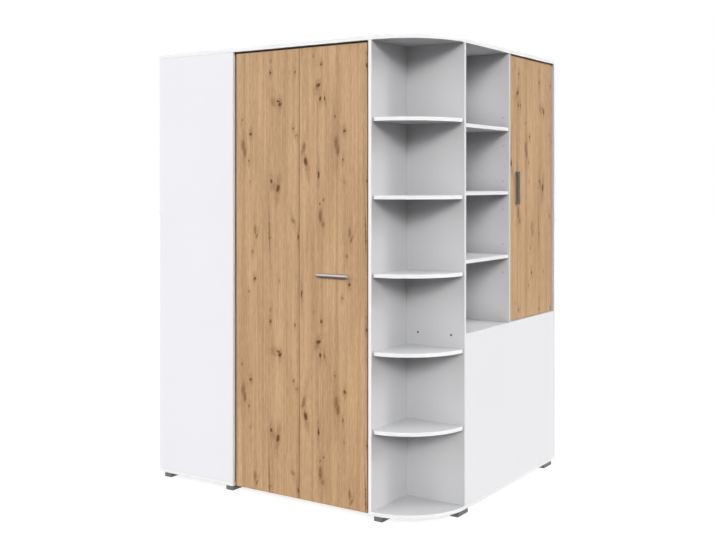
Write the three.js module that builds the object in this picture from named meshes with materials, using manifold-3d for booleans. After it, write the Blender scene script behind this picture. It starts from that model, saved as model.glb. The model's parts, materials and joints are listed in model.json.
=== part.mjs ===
// A walk-in corner wardrobe of melamine-faced boards. A hanging wing stands on the left, a folding door
// closes the walkway beside it, and a shallow shelf wing with a quarter-round niche turns the corner on the
// right. Millimetres, +Z up. The plan is drawn from its front left corner on the floor: X runs along the side
// with the folding door and Y runs into the corner of the room. At the end the group is moved to put its
// origin at the middle of the footprint.
import * as THREE from "three";
import { mergeVertices } from "three/addons/utils/BufferGeometryUtils.js";
import Module from "manifold-3d";

const wasm = await Module();
wasm.setup();

// Carcass
const width = 1470; // along the folding-door side
const depth = 1240; // along the shelf side
const innerHeight = 1930; // from the bottom boards to the top boards
const boardThickness = 16;
const seam = 0.25; // gap between two boards that touch
const arris = 0.5; // broken long edges of a board
const hangingWing = 450; // from the back of the hanging wing to the walkway
const cornerRadius = 280; // rounded front of the corner niche
const openWidth = 414; // clear width of the open compartments
const lowerHeight = 714; // from the bottom board to the top of the fixed shelf
const postDepth = 100; // upright that carries the folding door

// Fibreboard backs, let into rebates
const backThickness = 3;
const backOverlap = 10;

// Shelves
const shelfSetback = 3; // behind the front edges of the boards beside them
const cornerShelfCount = 5;
const cornerShelfPitch = 320;
const cornerShelfCut = 12; // off the corners at both ends of the rounded front
const openShelfCount = 3;
const openShelfPitch = 286;
const openShelfRise = 308; // from the fixed shelf to the top of the first open shelf
const cupboardShelfCount = 2;
const cupboardShelfSetback = 20; // behind the back of the side door
const hatShelfDrop = 250; // from the top board to the top of the hat shelf

// Rows of shelf-pin holes
const pinHoleRadius = 2.5;
const pinHoleDepth = 10;
const pinHolePitch = 64;
const pinHoleSides = 8;
const pinHoleInset = 30; // from a board's front edge, and from the back

// Doors
const doorRecess = 12; // front face behind the front edges of the carcass
const foldDoorSideGap = 6;
const foldDoorTopGap = 7.5;
const foldDoorLift = 2; // lower edge above the underside of the bottom boards
const foldGap = 2; // between the two leaves
const sideDoorGap = 4;

// Concealed hinges: the cup is sunk in the door, the arm is screwed to the board beside it
const foldHingeArmPitch = 382; // counted down from the top of the folding door
const foldHingeArmCount = 4;
const sideHingeCount = 3;
const sideHingeInset = 100; // of the outer hinges, from the door's ends
const pivotInset = 8; // of a door's axis from its edge and, in its middle, from its faces
const cupRadius = 17;
const cupClearance = 0.5;
const cupDepth = 11.5;
const cupWall = 1.5;
const cupInset = 22.5; // of the cup's centre from the door's edge
const rimThickness = 1.25;
const rimOverhang = 1.2;
const earLength = 32; // of the rim's two ears, from the cup's centre
const earWidth = 15;
const earCorner = 5;
const linkWidth = 10;
const linkLength = 16;
const linkHeight = 3.7; // above the back of the door
const armClearance = 0.3; // between the arm's nose and the link below it
const armWidth = 13;
const armHeight = 12; // of the arm over the board that carries it
const armLength = 60; // back from the door
const noseLength = 30;
const noseThickness = 5;
const crankLength = 16; // sloping part between the arm and its nose
const armPlate = 2.5; // thickness of the mounting plate
const armPlateWidth = 48;
const armPlateCorner = 6;
const armPlateSetback = 14;

// Knuckle hinge between the two leaves
const knuckleRadius = 2.7;
const knuckleLength = 80;
const knuckleGap = 0.4;
const pinRadius = 1.1;
const pinClearance = 0.4;
const foldAxisOffset = 3; // behind the backs of the leaves
const stripThickness = 1.3;
const stripWidth = 15;
const stripRelief = 0.5; // between a strip and the other strip's knuckles
const stripEndInset = 8; // of the hinge's ends from the ends of the leaves

// Guide roller and its track
const rollerRadius = 4.3;
const rollerHeight = 3.4;
const spindleRadius = 4.5;
const spindleLength = 30;
const spindleClearance = 0.3;
const collarRadius = 6.8;
const collarHeight = 1;
const neckRadius = 2.5;
const trackClearance = 0.4; // each side of the roller
const trackWall = 1.5;
const trackHeight = 6;

// Handles: a strip with a finger groove behind its front lip
const handleLength = 152;
const handleWidth = 15;
const handleProjection = 18;
const handleWall = 3;
const handleEnd = 12; // solid block at each end
const handleCorner = 3;
const handleEdge = 0.6;
const sideHandleInset = 82; // of its centre line from the free edge of the side door

// Clothes rail
const railHeight = 30;
const railThickness = 15;
const railWall = 1.2;
const railDrop = 60; // of its centre below the hat shelf
const socketRadius = 24;
const socketThickness = 4;
const socketLength = 16;
const socketWall = 2;

// Feet
const footHeight = 20;
const footWidth = 42;
const footLength = 88;
const footTaper = 2;
const footCorner = 4;
const footSetback = 2; // from the front edges
const footSideInset = 30; // at the outer left side
const nicheFootInset = 9; // from the niche's left panel
const cornerFootInset = 229; // of the foot under the niche's right panel, from the front
const endFootInset = 42; // of the foot near the far end, from the end panel's outer face

// Round shapes
const arcSteps = 16; // half the sides of a board's quarter circle
const roundSteps = 16; // sides of a turned part
const cornerSteps = 2; // half the sides of a small rounded corner
const overrun = 1; // of a cut past the face it opens
const weld = 1e-4; // vertices closer than this are one

// Levels and lines of the plan that follow from the sizes above
const bottomTop = footHeight + boardThickness;
const innerTop = bottomTop + innerHeight;
const topFace = innerTop + boardThickness;
const nicheX = width - cornerRadius;
const shelfWingX = nicheX - boardThickness;
const shelfWingY = cornerRadius + boardThickness;
const endY = depth - boardThickness;
const dividerY = shelfWingY + openWidth;
const cupboardY = dividerY + boardThickness;
const fixedShelfTop = bottomTop + lowerHeight;
const lowerPanelX = width - boardThickness;
const postX = hangingWing - boardThickness;
const compartmentX = shelfWingX + backThickness;
const hatShelfTop = innerTop - hatShelfDrop;
const doorBack = doorRecess + boardThickness;
const pivotLine = doorRecess + pivotInset;

const finish = {
  melamine: material(0xf1f1f3, 0.45, 0),
  oak: material(0xc29e7a, 0.6, 0),
  fibreboard: material(0xe6e6e8, 0.7, 0),
  steel: material(0xb9bbbd, 0.35, 0.9),
  aluminium: material(0xb4b0ab, 0.35, 0.9),
  darkPlastic: material(0x3a3431, 0.6, 0),
  greyPlastic: material(0x6b6b6b, 0.65, 0),
};

const wardrobe = new THREE.Group();
wardrobe.name = "corner_wardrobe";

function material(color, roughness, metalness) {
  return new THREE.MeshStandardMaterial({ color, roughness, metalness });
}

// Solids

function toSolid(geometry) {
  const bare = geometry.clone();
  bare.deleteAttribute("normal");
  bare.deleteAttribute("uv");
  const merged = mergeVertices(bare, weld);
  const mesh = new wasm.Mesh({
    numProp: 3,
    vertProperties: merged.attributes.position.array,
    triVerts: new Uint32Array(merged.index.array),
  });
  return new wasm.Manifold(mesh);
}

function fromSolid(solid) {
  const { vertProperties, triVerts } = solid.getMesh();
  const indexed = new THREE.BufferGeometry();
  indexed.setAttribute("position", new THREE.BufferAttribute(vertProperties, 3));
  indexed.setIndex(new THREE.BufferAttribute(triVerts, 1));
  const geometry = indexed.toNonIndexed();
  geometry.computeVertexNormals();
  return geometry;
}

function join(first, ...others) {
  return fromSolid(others.reduce((solid, other) => solid.add(toSolid(other)), toSolid(first)));
}

function subtract(first, ...others) {
  return fromSolid(others.reduce((solid, other) => solid.subtract(toSolid(other)), toSolid(first)));
}

// Cuts shapes that stand in the plan out of a mesh that stands in it too.
function carve(mesh, cutters) {
  mesh.updateWorldMatrix(true, false);
  const toMesh = mesh.matrixWorld.clone().invert();
  mesh.geometry = subtract(mesh.geometry, ...cutters.map((cutter) => cutter.clone().applyMatrix4(toMesh)));
}

function addMesh(parent, name, surface, geometry, x = 0, y = 0, z = 0) {
  const mesh = new THREE.Mesh(geometry, surface);
  mesh.name = name;
  mesh.position.set(x, y, z);
  parent.add(mesh);
  return mesh;
}

function middle([from, to]) {
  return (from + to) / 2;
}

// A plain box between planes, for cuts and joins.
function block([x0, x1], [y0, y1], [z0, z1]) {
  const box = new THREE.BoxGeometry(x1 - x0, y1 - y0, z1 - z0);
  return box.translate(middle([x0, x1]), middle([y0, y1]), middle([z0, z1]));
}

function rectangle(across, up) {
  const shape = new THREE.Shape();
  shape.moveTo(-across / 2, -up / 2);
  shape.lineTo(across / 2, -up / 2);
  shape.lineTo(across / 2, up / 2);
  shape.lineTo(-across / 2, up / 2);
  shape.closePath();
  return shape;
}

function roundedRectangle(across, up, corner) {
  const x = across / 2 - corner;
  const y = up / 2 - corner;
  const shape = new THREE.Shape();
  shape.absarc(x, -y, corner, -Math.PI / 2, 0);
  shape.absarc(x, y, corner, 0, Math.PI / 2);
  shape.absarc(-x, y, corner, Math.PI / 2, Math.PI);
  shape.absarc(-x, -y, corner, Math.PI, 1.5 * Math.PI);
  shape.closePath();
  return shape;
}

// An outline given a thickness about its own plane, with its long edges broken.
function slab(shape, thickness, edge, steps) {
  const geometry = new THREE.ExtrudeGeometry(shape, {
    depth: thickness - 2 * edge,
    bevelEnabled: edge > 0,
    bevelThickness: edge,
    bevelSize: edge,
    bevelOffset: -edge,
    bevelSegments: 1,
    curveSegments: steps,
  });
  return geometry.translate(0, 0, edge - thickness / 2);
}

// Turns a slab drawn flat so that its thickness lies along an axis of the plan.
const alongX = new THREE.Vector3(1, 0, 0);
const alongY = new THREE.Vector3(0, 1, 0);
const alongZ = new THREE.Vector3(0, 0, 1);
const facing = {
  x: new THREE.Matrix4().makeBasis(alongY, alongZ, alongX),
  y: new THREE.Matrix4().makeBasis(alongZ, alongX, alongY),
  z: new THREE.Matrix4(),
};
const planeOf = { x: ["y", "z"], y: ["z", "x"], z: ["x", "y"] };

// Stands a turned shape, whose axis is drawn along y, upright.
const upright = new THREE.Matrix4().makeBasis(alongX, alongZ, alongY.clone().negate());

// A board between six planes of the plan. Each face stands back half a seam, so boards that meet never bind.
function board(parent, name, surface, x, y, z) {
  const size = { x: x[1] - x[0] - seam, y: y[1] - y[0] - seam, z: z[1] - z[0] - seam };
  const thin = Object.keys(size).reduce((least, axis) => (size[axis] < size[least] ? axis : least));
  const [across, up] = planeOf[thin];
  const geometry = slab(rectangle(size[across], size[up]), size[thin], arris);
  geometry.applyMatrix4(facing[thin]);
  return addMesh(parent, name, surface, geometry, middle(x), middle(y), middle(z));
}

// Backs and the rebates that take them

const leftBack = {
  x: [0, backThickness],
  y: [boardThickness - backOverlap, endY + backOverlap],
  z: [bottomTop - backOverlap, innerTop + backOverlap],
};
const walkwayBack = {
  x: [hangingWing - backOverlap, shelfWingX + backOverlap],
  y: [depth - backThickness, depth],
  z: [footHeight, innerTop + backOverlap],
};
const shelfBack = {
  x: [shelfWingX, compartmentX],
  y: [shelfWingY - backOverlap, endY + backOverlap],
  z: [fixedShelfTop - backOverlap, innerTop + backOverlap],
};
const leftRebate = block([-overrun, leftBack.x[1]], leftBack.y, leftBack.z);
const walkwayRebate = block(walkwayBack.x, [walkwayBack.y[0], depth + overrun], walkwayBack.z);
const shelfRebate = block([shelfWingX - overrun, shelfBack.x[1]], shelfBack.y, shelfBack.z);

function backs() {
  board(wardrobe, "left_back_panel", finish.fibreboard, leftBack.x, leftBack.y, leftBack.z);
  board(wardrobe, "walkway_back_panel", finish.fibreboard, walkwayBack.x, walkwayBack.y, walkwayBack.z);
  board(wardrobe, "shelf_back_panel", finish.fibreboard, shelfBack.x, shelfBack.y, shelfBack.z);
}

// Top and bottom boards

// The plan of the shelf wing: a rectangle whose front right corner is the niche's quarter circle.
function shelfWingBoard(name, z) {
  const half = seam / 2;
  const shape = new THREE.Shape();
  shape.absarc(nicheX, cornerRadius, cornerRadius - half, -Math.PI / 2, 0);
  shape.lineTo(width - half, depth - half);
  shape.lineTo(shelfWingX + half, depth - half);
  shape.lineTo(shelfWingX + half, half);
  shape.closePath();
  const geometry = slab(shape, z[1] - z[0] - seam, arris, arcSteps);
  return addMesh(wardrobe, name, finish.melamine, geometry, 0, 0, middle(z));
}

function topBoards() {
  const level = [innerTop, topFace];
  const left = board(wardrobe, "top_board_left", finish.melamine, [0, shelfWingX], [0, depth], level);
  carve(left, [leftRebate, walkwayRebate]);
  carve(shelfWingBoard("top_board_right", level), [walkwayRebate, shelfRebate]);
}

function bottomBoards() {
  const level = [footHeight, bottomTop];
  const left = board(wardrobe, "bottom_board_left", finish.melamine, [0, hangingWing], [0, depth], level);
  carve(left, [leftRebate, walkwayRebate]);
  carve(shelfWingBoard("bottom_board_right", level), [walkwayRebate]);
}

// Hanging wing

function hangingWingBoards() {
  const full = [bottomTop, innerTop];
  const wing = [0, hangingWing];
  const front = board(wardrobe, "left_front_panel", finish.melamine, wing, [0, boardThickness], full);
  carve(front, [leftRebate]);
  const rear = board(wardrobe, "left_rear_panel", finish.melamine, wing, [endY, depth], full);
  carve(rear, [leftRebate, walkwayRebate]);
  const postY = [boardThickness, boardThickness + postDepth];
  board(wardrobe, "hinge_post", finish.melamine, [postX, hangingWing], postY, full);
  const hatShelf = [hatShelfTop - boardThickness, hatShelfTop];
  board(wardrobe, "hat_shelf", finish.melamine, [backThickness, postX], [boardThickness, endY], hatShelf);
}

// An oval tube between the wing's front and rear panels, held at both ends by a flanged socket.
function clothesRail() {
  const span = endY - boardThickness - seam;
  const oval = roundedRectangle(railHeight, railThickness, railThickness / 2);
  const boreThickness = railThickness - 2 * railWall;
  const bore = roundedRectangle(railHeight - 2 * railWall, boreThickness, boreThickness / 2);
  oval.holes.push(bore);
  const tube = slab(oval, span, 0, cornerSteps);
  const sleeveWidth = railThickness + 2 * socketWall;
  const sleeveOutline = roundedRectangle(railHeight + 2 * socketWall, sleeveWidth, sleeveWidth / 2);
  sleeveOutline.holes.push(bore);
  const flangeOutline = new THREE.Shape().absarc(0, 0, socketRadius, 0, 2 * Math.PI);
  flangeOutline.holes.push(bore);
  const ends = [-1, 1].flatMap((side) => {
    const sleeve = slab(sleeveOutline, socketLength, 0, cornerSteps);
    const flange = slab(flangeOutline, socketThickness, 0, roundSteps / 2);
    sleeve.translate(0, 0, (side * (span - socketLength)) / 2);
    flange.translate(0, 0, (side * (span - socketThickness)) / 2);
    return [sleeve, flange];
  });
  const rail = join(tube, ...ends).applyMatrix4(facing.y);
  const y = middle([boardThickness, endY]);
  const level = hatShelfTop - boardThickness - railDrop;
  addMesh(wardrobe, "clothes_rail", finish.steel, rail, hangingWing / 2, y, level);
}

// Shelf wing

function shelfWingBoards() {
  const full = [bottomTop, innerTop];
  const besideNiche = [shelfWingX, nicheX];
  const nicheLeft = board(wardrobe, "niche_left_panel", finish.melamine, besideNiche, [0, shelfWingY], full);
  carve(nicheLeft, [shelfRebate]);
  const nicheDepth = [cornerRadius, shelfWingY];
  const nicheRight = board(wardrobe, "niche_right_panel", finish.melamine, [nicheX, width], nicheDepth, full);
  carve(nicheRight, pinHoles(shelfWingY));
  const end = board(wardrobe, "end_panel", finish.melamine, [shelfWingX, width], [endY, depth], full);
  carve(end, [walkwayRebate, shelfRebate]);
  const lowerZ = [bottomTop, fixedShelfTop];
  board(wardrobe, "lower_front_panel", finish.melamine, [lowerPanelX, width], [shelfWingY, endY], lowerZ);
  const shelfZ = [fixedShelfTop - boardThickness, fixedShelfTop];
  const fixedShelfX = [shelfWingX, lowerPanelX];
  const fixedShelf = board(wardrobe, "fixed_shelf", finish.melamine, fixedShelfX, [shelfWingY, endY], shelfZ);
  carve(fixedShelf, [shelfRebate]);
  const partitionZ = [bottomTop, fixedShelfTop - boardThickness];
  board(wardrobe, "lower_partition", finish.melamine, fixedShelfX, [dividerY, cupboardY], partitionZ);
  const dividerZ = [fixedShelfTop, innerTop];
  const dividerX = [compartmentX, width];
  const across = [dividerY, cupboardY];
  const divider = board(wardrobe, "compartment_divider", finish.melamine, dividerX, across, dividerZ);
  carve(divider, pinHoles(dividerY));
}

// Two columns of blind holes in the face at y, three to each open shelf: its own pin's and one each way.
function pinHoles(y) {
  const columns = [width - pinHoleInset, compartmentX + pinHoleInset];
  const holes = [];
  for (const x of columns) {
    for (const top of openShelfTops()) {
      for (const step of [-1, 0, 1]) {
        const z = top - boardThickness - pinHoleRadius + step * pinHolePitch;
        const hole = new THREE.CylinderGeometry(pinHoleRadius, pinHoleRadius, 2 * pinHoleDepth, pinHoleSides);
        holes.push(hole.translate(x, y, z));
      }
    }
  }
  return holes;
}

function openShelfTops() {
  return Array.from({ length: openShelfCount }, (_, i) => fixedShelfTop + openShelfRise + i * openShelfPitch);
}

// A quarter circle that fills the niche's plan up to its rounded front, with the two corners there cut off.
function cornerShelves() {
  const half = seam / 2;
  const radius = cornerRadius - shelfSetback;
  const straight = radius - cornerShelfCut;
  const lean = Math.asin((half + cornerShelfCut) / radius);
  const shape = new THREE.Shape();
  shape.absarc(0, 0, radius, lean - Math.PI / 2, -lean);
  shape.lineTo(straight, -half);
  shape.lineTo(half, -half);
  shape.lineTo(half, -straight);
  shape.closePath();
  const spare = innerHeight - (cornerShelfCount - 1) * cornerShelfPitch - boardThickness;
  for (let i = 0; i < cornerShelfCount; i++) {
    const level = bottomTop + spare / 2 + boardThickness / 2 + i * cornerShelfPitch;
    const geometry = slab(shape, boardThickness - seam, arris, arcSteps);
    addMesh(wardrobe, `corner_shelf_${i + 1}`, finish.melamine, geometry, nicheX, cornerRadius, level);
  }
}

function openShelves() {
  const x = [compartmentX, width - shelfSetback];
  openShelfTops().forEach((top, i) => {
    const z = [top - boardThickness, top];
    board(wardrobe, `open_shelf_${i + 1}`, finish.melamine, x, [shelfWingY, dividerY], z);
  });
}

function cupboardShelves() {
  const x = [compartmentX, width - doorBack - cupboardShelfSetback];
  const clear = innerTop - fixedShelfTop - cupboardShelfCount * boardThickness;
  const pitch = clear / (cupboardShelfCount + 1) + boardThickness;
  for (let i = 1; i <= cupboardShelfCount; i++) {
    const top = fixedShelfTop + i * pitch;
    const z = [top - boardThickness, top];
    board(wardrobe, `cupboard_shelf_${i}`, finish.melamine, x, [cupboardY, endY], z);
  }
}

// Concealed hinges. In a hinge's own frame x points from the board that carries the arm along the closed
// door, y points from the back of the door into the cabinet, and the hinge is centred on z.

function hingeFrame(x, y, z, along, inward) {
  const frame = new THREE.Group();
  const across = new THREE.Vector3().crossVectors(along, inward);
  frame.quaternion.setFromRotationMatrix(new THREE.Matrix4().makeBasis(along, inward, across));
  frame.position.set(x, y, z);
  wardrobe.add(frame);
  frame.updateWorldMatrix(true, false);
  return frame;
}

// The bore in the door, in the plan.
function cupBore(frame, edgeGap) {
  const radius = cupRadius + cupClearance;
  const length = cupDepth + cupClearance + overrun;
  const bore = new THREE.CylinderGeometry(radius, radius, length, 2 * roundSteps);
  bore.translate(edgeGap + cupInset, overrun - length / 2, 0);
  return bore.applyMatrix4(frame.matrixWorld);
}

// A turned bowl with a rim, two screw ears and the link that comes up out of it.
function hingeCup(frame, name, edgeGap) {
  const rimFoot = seam;
  const rimTop = rimFoot + rimThickness;
  const bore = cupRadius - cupWall;
  const profile = [
    [0, -cupDepth],
    [cupRadius, -cupDepth],
    [cupRadius, rimFoot],
    [cupRadius + rimOverhang, rimFoot],
    [cupRadius + rimOverhang, rimTop],
    [bore, rimTop],
    [bore, cupWall - cupDepth],
    [0, cupWall - cupDepth],
  ].map(([radius, height]) => new THREE.Vector2(radius, height));
  const bowl = new THREE.LatheGeometry(profile, roundSteps);
  const ears = slab(roundedRectangle(2 * earLength, earWidth, earCorner), rimThickness, 0, cornerSteps);
  ears.applyMatrix4(facing.y).translate(0, middle([rimFoot, rimTop]), 0);
  const mouth = new THREE.CylinderGeometry(bore, bore, 4 * rimThickness, roundSteps);
  const plate = subtract(ears, mouth.translate(0, rimTop, 0));
  const linkX = [-linkLength / 2, linkLength / 2];
  const link = block(linkX, [cupWall / 2 - cupDepth, linkHeight], [-linkWidth / 2, linkWidth / 2]);
  const cup = join(bowl, plate, link).translate(edgeGap + cupInset, 0, 0);
  addMesh(frame, name, finish.steel, cup);
}

// A mounting plate and a cranked arm whose nose reaches over the link.
function hingeArm(frame, name) {
  const noseFoot = linkHeight + armClearance;
  const outline = new THREE.Shape();
  outline.moveTo(seam, armLength);
  outline.lineTo(seam, noseFoot + noseThickness);
  outline.lineTo(armPlate, noseFoot);
  outline.lineTo(noseLength, noseFoot);
  outline.lineTo(noseLength, noseFoot + noseThickness);
  outline.lineTo(armHeight, noseFoot + crankLength);
  outline.lineTo(armHeight, armLength);
  outline.closePath();
  const arm = slab(outline, armWidth, 0, 1);
  const plateLength = armLength - armPlateSetback;
  const plateOutline = roundedRectangle(plateLength, armPlateWidth, armPlateCorner);
  const plate = slab(plateOutline, armPlate - seam, 0, cornerSteps);
  plate.applyMatrix4(facing.x).translate(middle([seam, armPlate]), armPlateSetback + plateLength / 2, 0);
  addMesh(frame, name, finish.steel, join(arm, plate));
}

// Handles. In a handle's own frame it lies along x, y points into the door and the finger groove opens
// towards -z.

function handleGeometry() {
  const outline = new THREE.Shape();
  const half = handleWidth / 2;
  const front = half - handleCorner;
  outline.absarc(-front, handleCorner - handleProjection, handleCorner, Math.PI, 1.5 * Math.PI);
  outline.absarc(front, handleCorner - handleProjection, handleCorner, -Math.PI / 2, 0);
  outline.lineTo(half, -seam);
  outline.lineTo(-half, -seam);
  outline.closePath();
  const turn = new THREE.Matrix4().makeBasis(alongZ.clone().negate(), alongY, alongX);
  const bar = slab(outline, handleLength, handleEdge, cornerSteps).applyMatrix4(turn);
  const grooveX = [handleEnd - handleLength / 2, handleLength / 2 - handleEnd];
  const grooveY = [handleWall - handleProjection, overrun];
  const grooveZ = [-half - overrun, half - handleWall];
  return subtract(bar, block(grooveX, grooveY, grooveZ));
}

// Folding door

const doorTop = innerTop - foldDoorTopGap;
const doorFoot = footHeight + foldDoorLift;
const doorLeft = hangingWing + foldDoorSideGap;
const doorRight = shelfWingX - foldDoorSideGap;
const foldX = middle([doorLeft, doorRight]);

function foldingDoor() {
  const y = [doorRecess, doorBack];
  const z = [doorFoot, doorTop];
  const left = board(wardrobe, "left_leaf", finish.oak, [doorLeft, foldX - foldGap / 2], y, z);
  const right = board(wardrobe, "right_leaf", finish.oak, [foldX + foldGap / 2, doorRight], y, z);
  const bores = [];
  for (let i = 1; i <= foldHingeArmCount; i++) {
    const frame = hingeFrame(hangingWing, doorBack, doorTop - i * foldHingeArmPitch, alongX, alongY);
    bores.push(cupBore(frame, foldDoorSideGap));
    hingeCup(frame, `leaf_hinge_cup_${i}`, foldDoorSideGap);
    hingeArm(frame, `leaf_hinge_arm_${i}`);
  }
  carve(left, bores);
  knuckleHinge();
  carve(right, [guideRoller()]);
  doorTrack();
  const handle = handleGeometry();
  const handleX = middle([foldX + foldGap / 2, doorRight]);
  addMesh(wardrobe, "fold_door_handle", finish.aluminium, handle, handleX, doorRecess, middle(z));
}

// Two strips on the backs of the leaves, with knuckles taken in turn by the left and right strip. The pin is
// staked in the left strip's knuckles and runs free in the right strip's.
function knuckleHinge() {
  const length = doorTop - doorFoot - 2 * stripEndInset;
  const count = Math.round(length / knuckleLength);
  const pitch = length / count;
  const frame = new THREE.Group();
  frame.position.set(foldX, doorBack + foldAxisOffset, doorFoot + stripEndInset);
  wardrobe.add(frame);
  const stripY = [seam - foldAxisOffset, seam + stripThickness - foldAxisOffset];
  const relief = knuckleRadius + stripRelief;
  const knuckle = new THREE.Shape().absarc(0, 0, knuckleRadius, 0, 2 * Math.PI);
  const bored = knuckle.clone();
  bored.holes.push(new THREE.Path().absarc(0, 0, pinRadius + pinClearance, 0, 2 * Math.PI));
  const strips = { left: [], right: [] };
  for (let i = 0; i < count; i++) {
    const z = [i * pitch + knuckleGap / 2, (i + 1) * pitch - knuckleGap / 2];
    const side = i % 2 ? "right" : "left";
    const barrel = slab(side === "left" ? knuckle : bored, z[1] - z[0], 0, roundSteps / 2);
    strips[side].push(barrel.translate(0, 0, middle(z)));
    const tab = [pinRadius + pinClearance, relief + overrun];
    const tabX = side === "left" ? [-tab[1], -tab[0]] : tab;
    strips[side].push(block(tabX, [stripY[0] + pinClearance, stripY[1]], z));
  }
  const leftPlate = block([-relief - stripWidth, -relief], stripY, [0, length]);
  const rightPlate = block([relief, relief + stripWidth], stripY, [0, length]);
  const pin = new THREE.CylinderGeometry(pinRadius, pinRadius, length - knuckleGap, roundSteps / 2);
  pin.applyMatrix4(upright).translate(0, 0, length / 2);
  addMesh(frame, "fold_hinge_left", finish.steel, join(leftPlate, ...strips.left, pin));
  addMesh(frame, "fold_hinge_right", finish.steel, join(rightPlate, ...strips.right));
}

// A turned spindle let into the top edge of the right leaf, with a roller that runs in the track above.
// Returns the bore for it.
function guideRoller() {
  const x = 2 * foldX - (doorLeft + pivotInset);
  const rollerTop = foldDoorTopGap - seam - trackWall - trackClearance;
  const profile = [
    [0, -spindleLength],
    [spindleRadius, -spindleLength],
    [spindleRadius, 0],
    [collarRadius, 0],
    [collarRadius, collarHeight],
    [neckRadius, collarHeight],
    [neckRadius, rollerTop - rollerHeight],
    [rollerRadius, rollerTop - rollerHeight],
    [rollerRadius, rollerTop],
    [0, rollerTop],
  ].map(([radius, height]) => new THREE.Vector2(radius, height));
  const roller = new THREE.LatheGeometry(profile, roundSteps).applyMatrix4(upright);
  addMesh(wardrobe, "guide_roller", finish.darkPlastic, roller, x, pivotLine, doorTop);
  const radius = spindleRadius + spindleClearance;
  const length = spindleLength + spindleClearance + overrun;
  const bore = new THREE.CylinderGeometry(radius, radius, length, 2 * roundSteps).applyMatrix4(upright);
  return bore.translate(x, pivotLine, doorTop + overrun - length / 2);
}

// A channel, open downwards, under the top board.
function doorTrack() {
  const inner = rollerRadius + trackClearance;
  const outer = inner + trackWall;
  const shape = new THREE.Shape();
  shape.moveTo(-outer, -trackHeight);
  shape.lineTo(-inner, -trackHeight);
  shape.lineTo(-inner, -seam - trackWall);
  shape.lineTo(inner, -seam - trackWall);
  shape.lineTo(inner, -trackHeight);
  shape.lineTo(outer, -trackHeight);
  shape.lineTo(outer, -seam);
  shape.lineTo(-outer, -seam);
  shape.closePath();
  const length = shelfWingX - hangingWing - 2 * seam;
  const track = slab(shape, length, 0, 1).applyMatrix4(facing.x);
  const x = middle([hangingWing, shelfWingX]);
  addMesh(wardrobe, "door_track", finish.darkPlastic, track, x, pivotLine, innerTop);
}

// Side door of the cupboard

function sideDoor() {
  const x = [width - doorBack, width - doorRecess];
  const y = [cupboardY + sideDoorGap, endY - sideDoorGap];
  const z = [fixedShelfTop + sideDoorGap, innerTop - sideDoorGap];
  const door = board(wardrobe, "side_door", finish.oak, x, y, z);
  const bores = [];
  const reach = z[1] - z[0] - 2 * sideHingeInset;
  for (let i = 0; i < sideHingeCount; i++) {
    const level = z[1] - sideHingeInset - (i * reach) / (sideHingeCount - 1);
    const frame = hingeFrame(width - doorBack, endY, level, alongY.clone().negate(), alongX.clone().negate());
    bores.push(cupBore(frame, sideDoorGap));
    hingeCup(frame, `side_hinge_cup_${i + 1}`, sideDoorGap);
    hingeArm(frame, `side_hinge_arm_${i + 1}`);
  }
  carve(door, bores);
  const turn = new THREE.Matrix4().makeBasis(alongZ.clone().negate(), alongX.clone().negate(), alongY);
  const handle = handleGeometry().applyMatrix4(turn);
  addMesh(wardrobe, "side_door_handle", finish.aluminium, handle, x[1], y[0] + sideHandleInset, middle(z));
}

// Feet

function feet() {
  const outline = roundedRectangle(footWidth, footLength, footCorner);
  const leftX = footSideInset + footWidth / 2;
  const wingX = hangingWing - footWidth / 2;
  const rightX = width - footSetback - footWidth / 2;
  const frontY = footSetback + footLength / 2;
  const rearY = depth - footSetback - footLength / 2;
  const places = [
    [leftX, frontY],
    [wingX, frontY],
    [nicheX + nicheFootInset + footWidth / 2, frontY],
    [rightX, cornerFootInset + footLength / 2],
    [rightX, depth - endFootInset - footLength / 2],
    [leftX, rearY],
    [wingX, rearY],
    [shelfWingX + footSetback + footWidth / 2, rearY],
  ];
  places.forEach(([x, y], i) => {
    const foot = slab(outline, footHeight - seam, footTaper, cornerSteps);
    addMesh(wardrobe, `foot_${i + 1}`, finish.greyPlastic, foot, x, y, middle([0, footHeight - seam]));
  });
}

topBoards();
bottomBoards();
hangingWingBoards();
clothesRail();
shelfWingBoards();
cornerShelves();
openShelves();
cupboardShelves();
backs();
foldingDoor();
sideDoor();
feet();

// The handles are the only pieces that stand out of the footprint's two front sides.
const handleReach = handleProjection - doorRecess;
wardrobe.position.set(-(width + handleReach + seam / 2) / 2, -(depth - handleReach - seam / 2) / 2, 0);

export default wardrobe;
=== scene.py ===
import json
import math

import bmesh
import bpy
from mathutils import Matrix, Vector


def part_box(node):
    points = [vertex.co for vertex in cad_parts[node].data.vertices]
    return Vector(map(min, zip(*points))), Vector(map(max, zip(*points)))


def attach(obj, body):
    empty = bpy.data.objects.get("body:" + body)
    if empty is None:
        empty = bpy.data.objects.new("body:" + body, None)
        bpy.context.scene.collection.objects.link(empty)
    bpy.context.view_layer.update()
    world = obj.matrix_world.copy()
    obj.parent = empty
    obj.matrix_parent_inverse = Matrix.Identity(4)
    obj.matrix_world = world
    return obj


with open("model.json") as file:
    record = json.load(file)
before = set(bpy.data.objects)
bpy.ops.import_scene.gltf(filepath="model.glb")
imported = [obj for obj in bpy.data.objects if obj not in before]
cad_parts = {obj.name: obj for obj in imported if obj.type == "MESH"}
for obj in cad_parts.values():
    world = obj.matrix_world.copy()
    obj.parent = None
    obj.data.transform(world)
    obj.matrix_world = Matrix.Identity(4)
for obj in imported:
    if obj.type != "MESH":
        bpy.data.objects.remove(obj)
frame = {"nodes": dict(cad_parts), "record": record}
bpy.ops.object.select_all(action="DESELECT")
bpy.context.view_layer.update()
nodes = frame["nodes"]
print("frame loaded:", len(nodes), "nodes")

mm = 0.001
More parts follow.
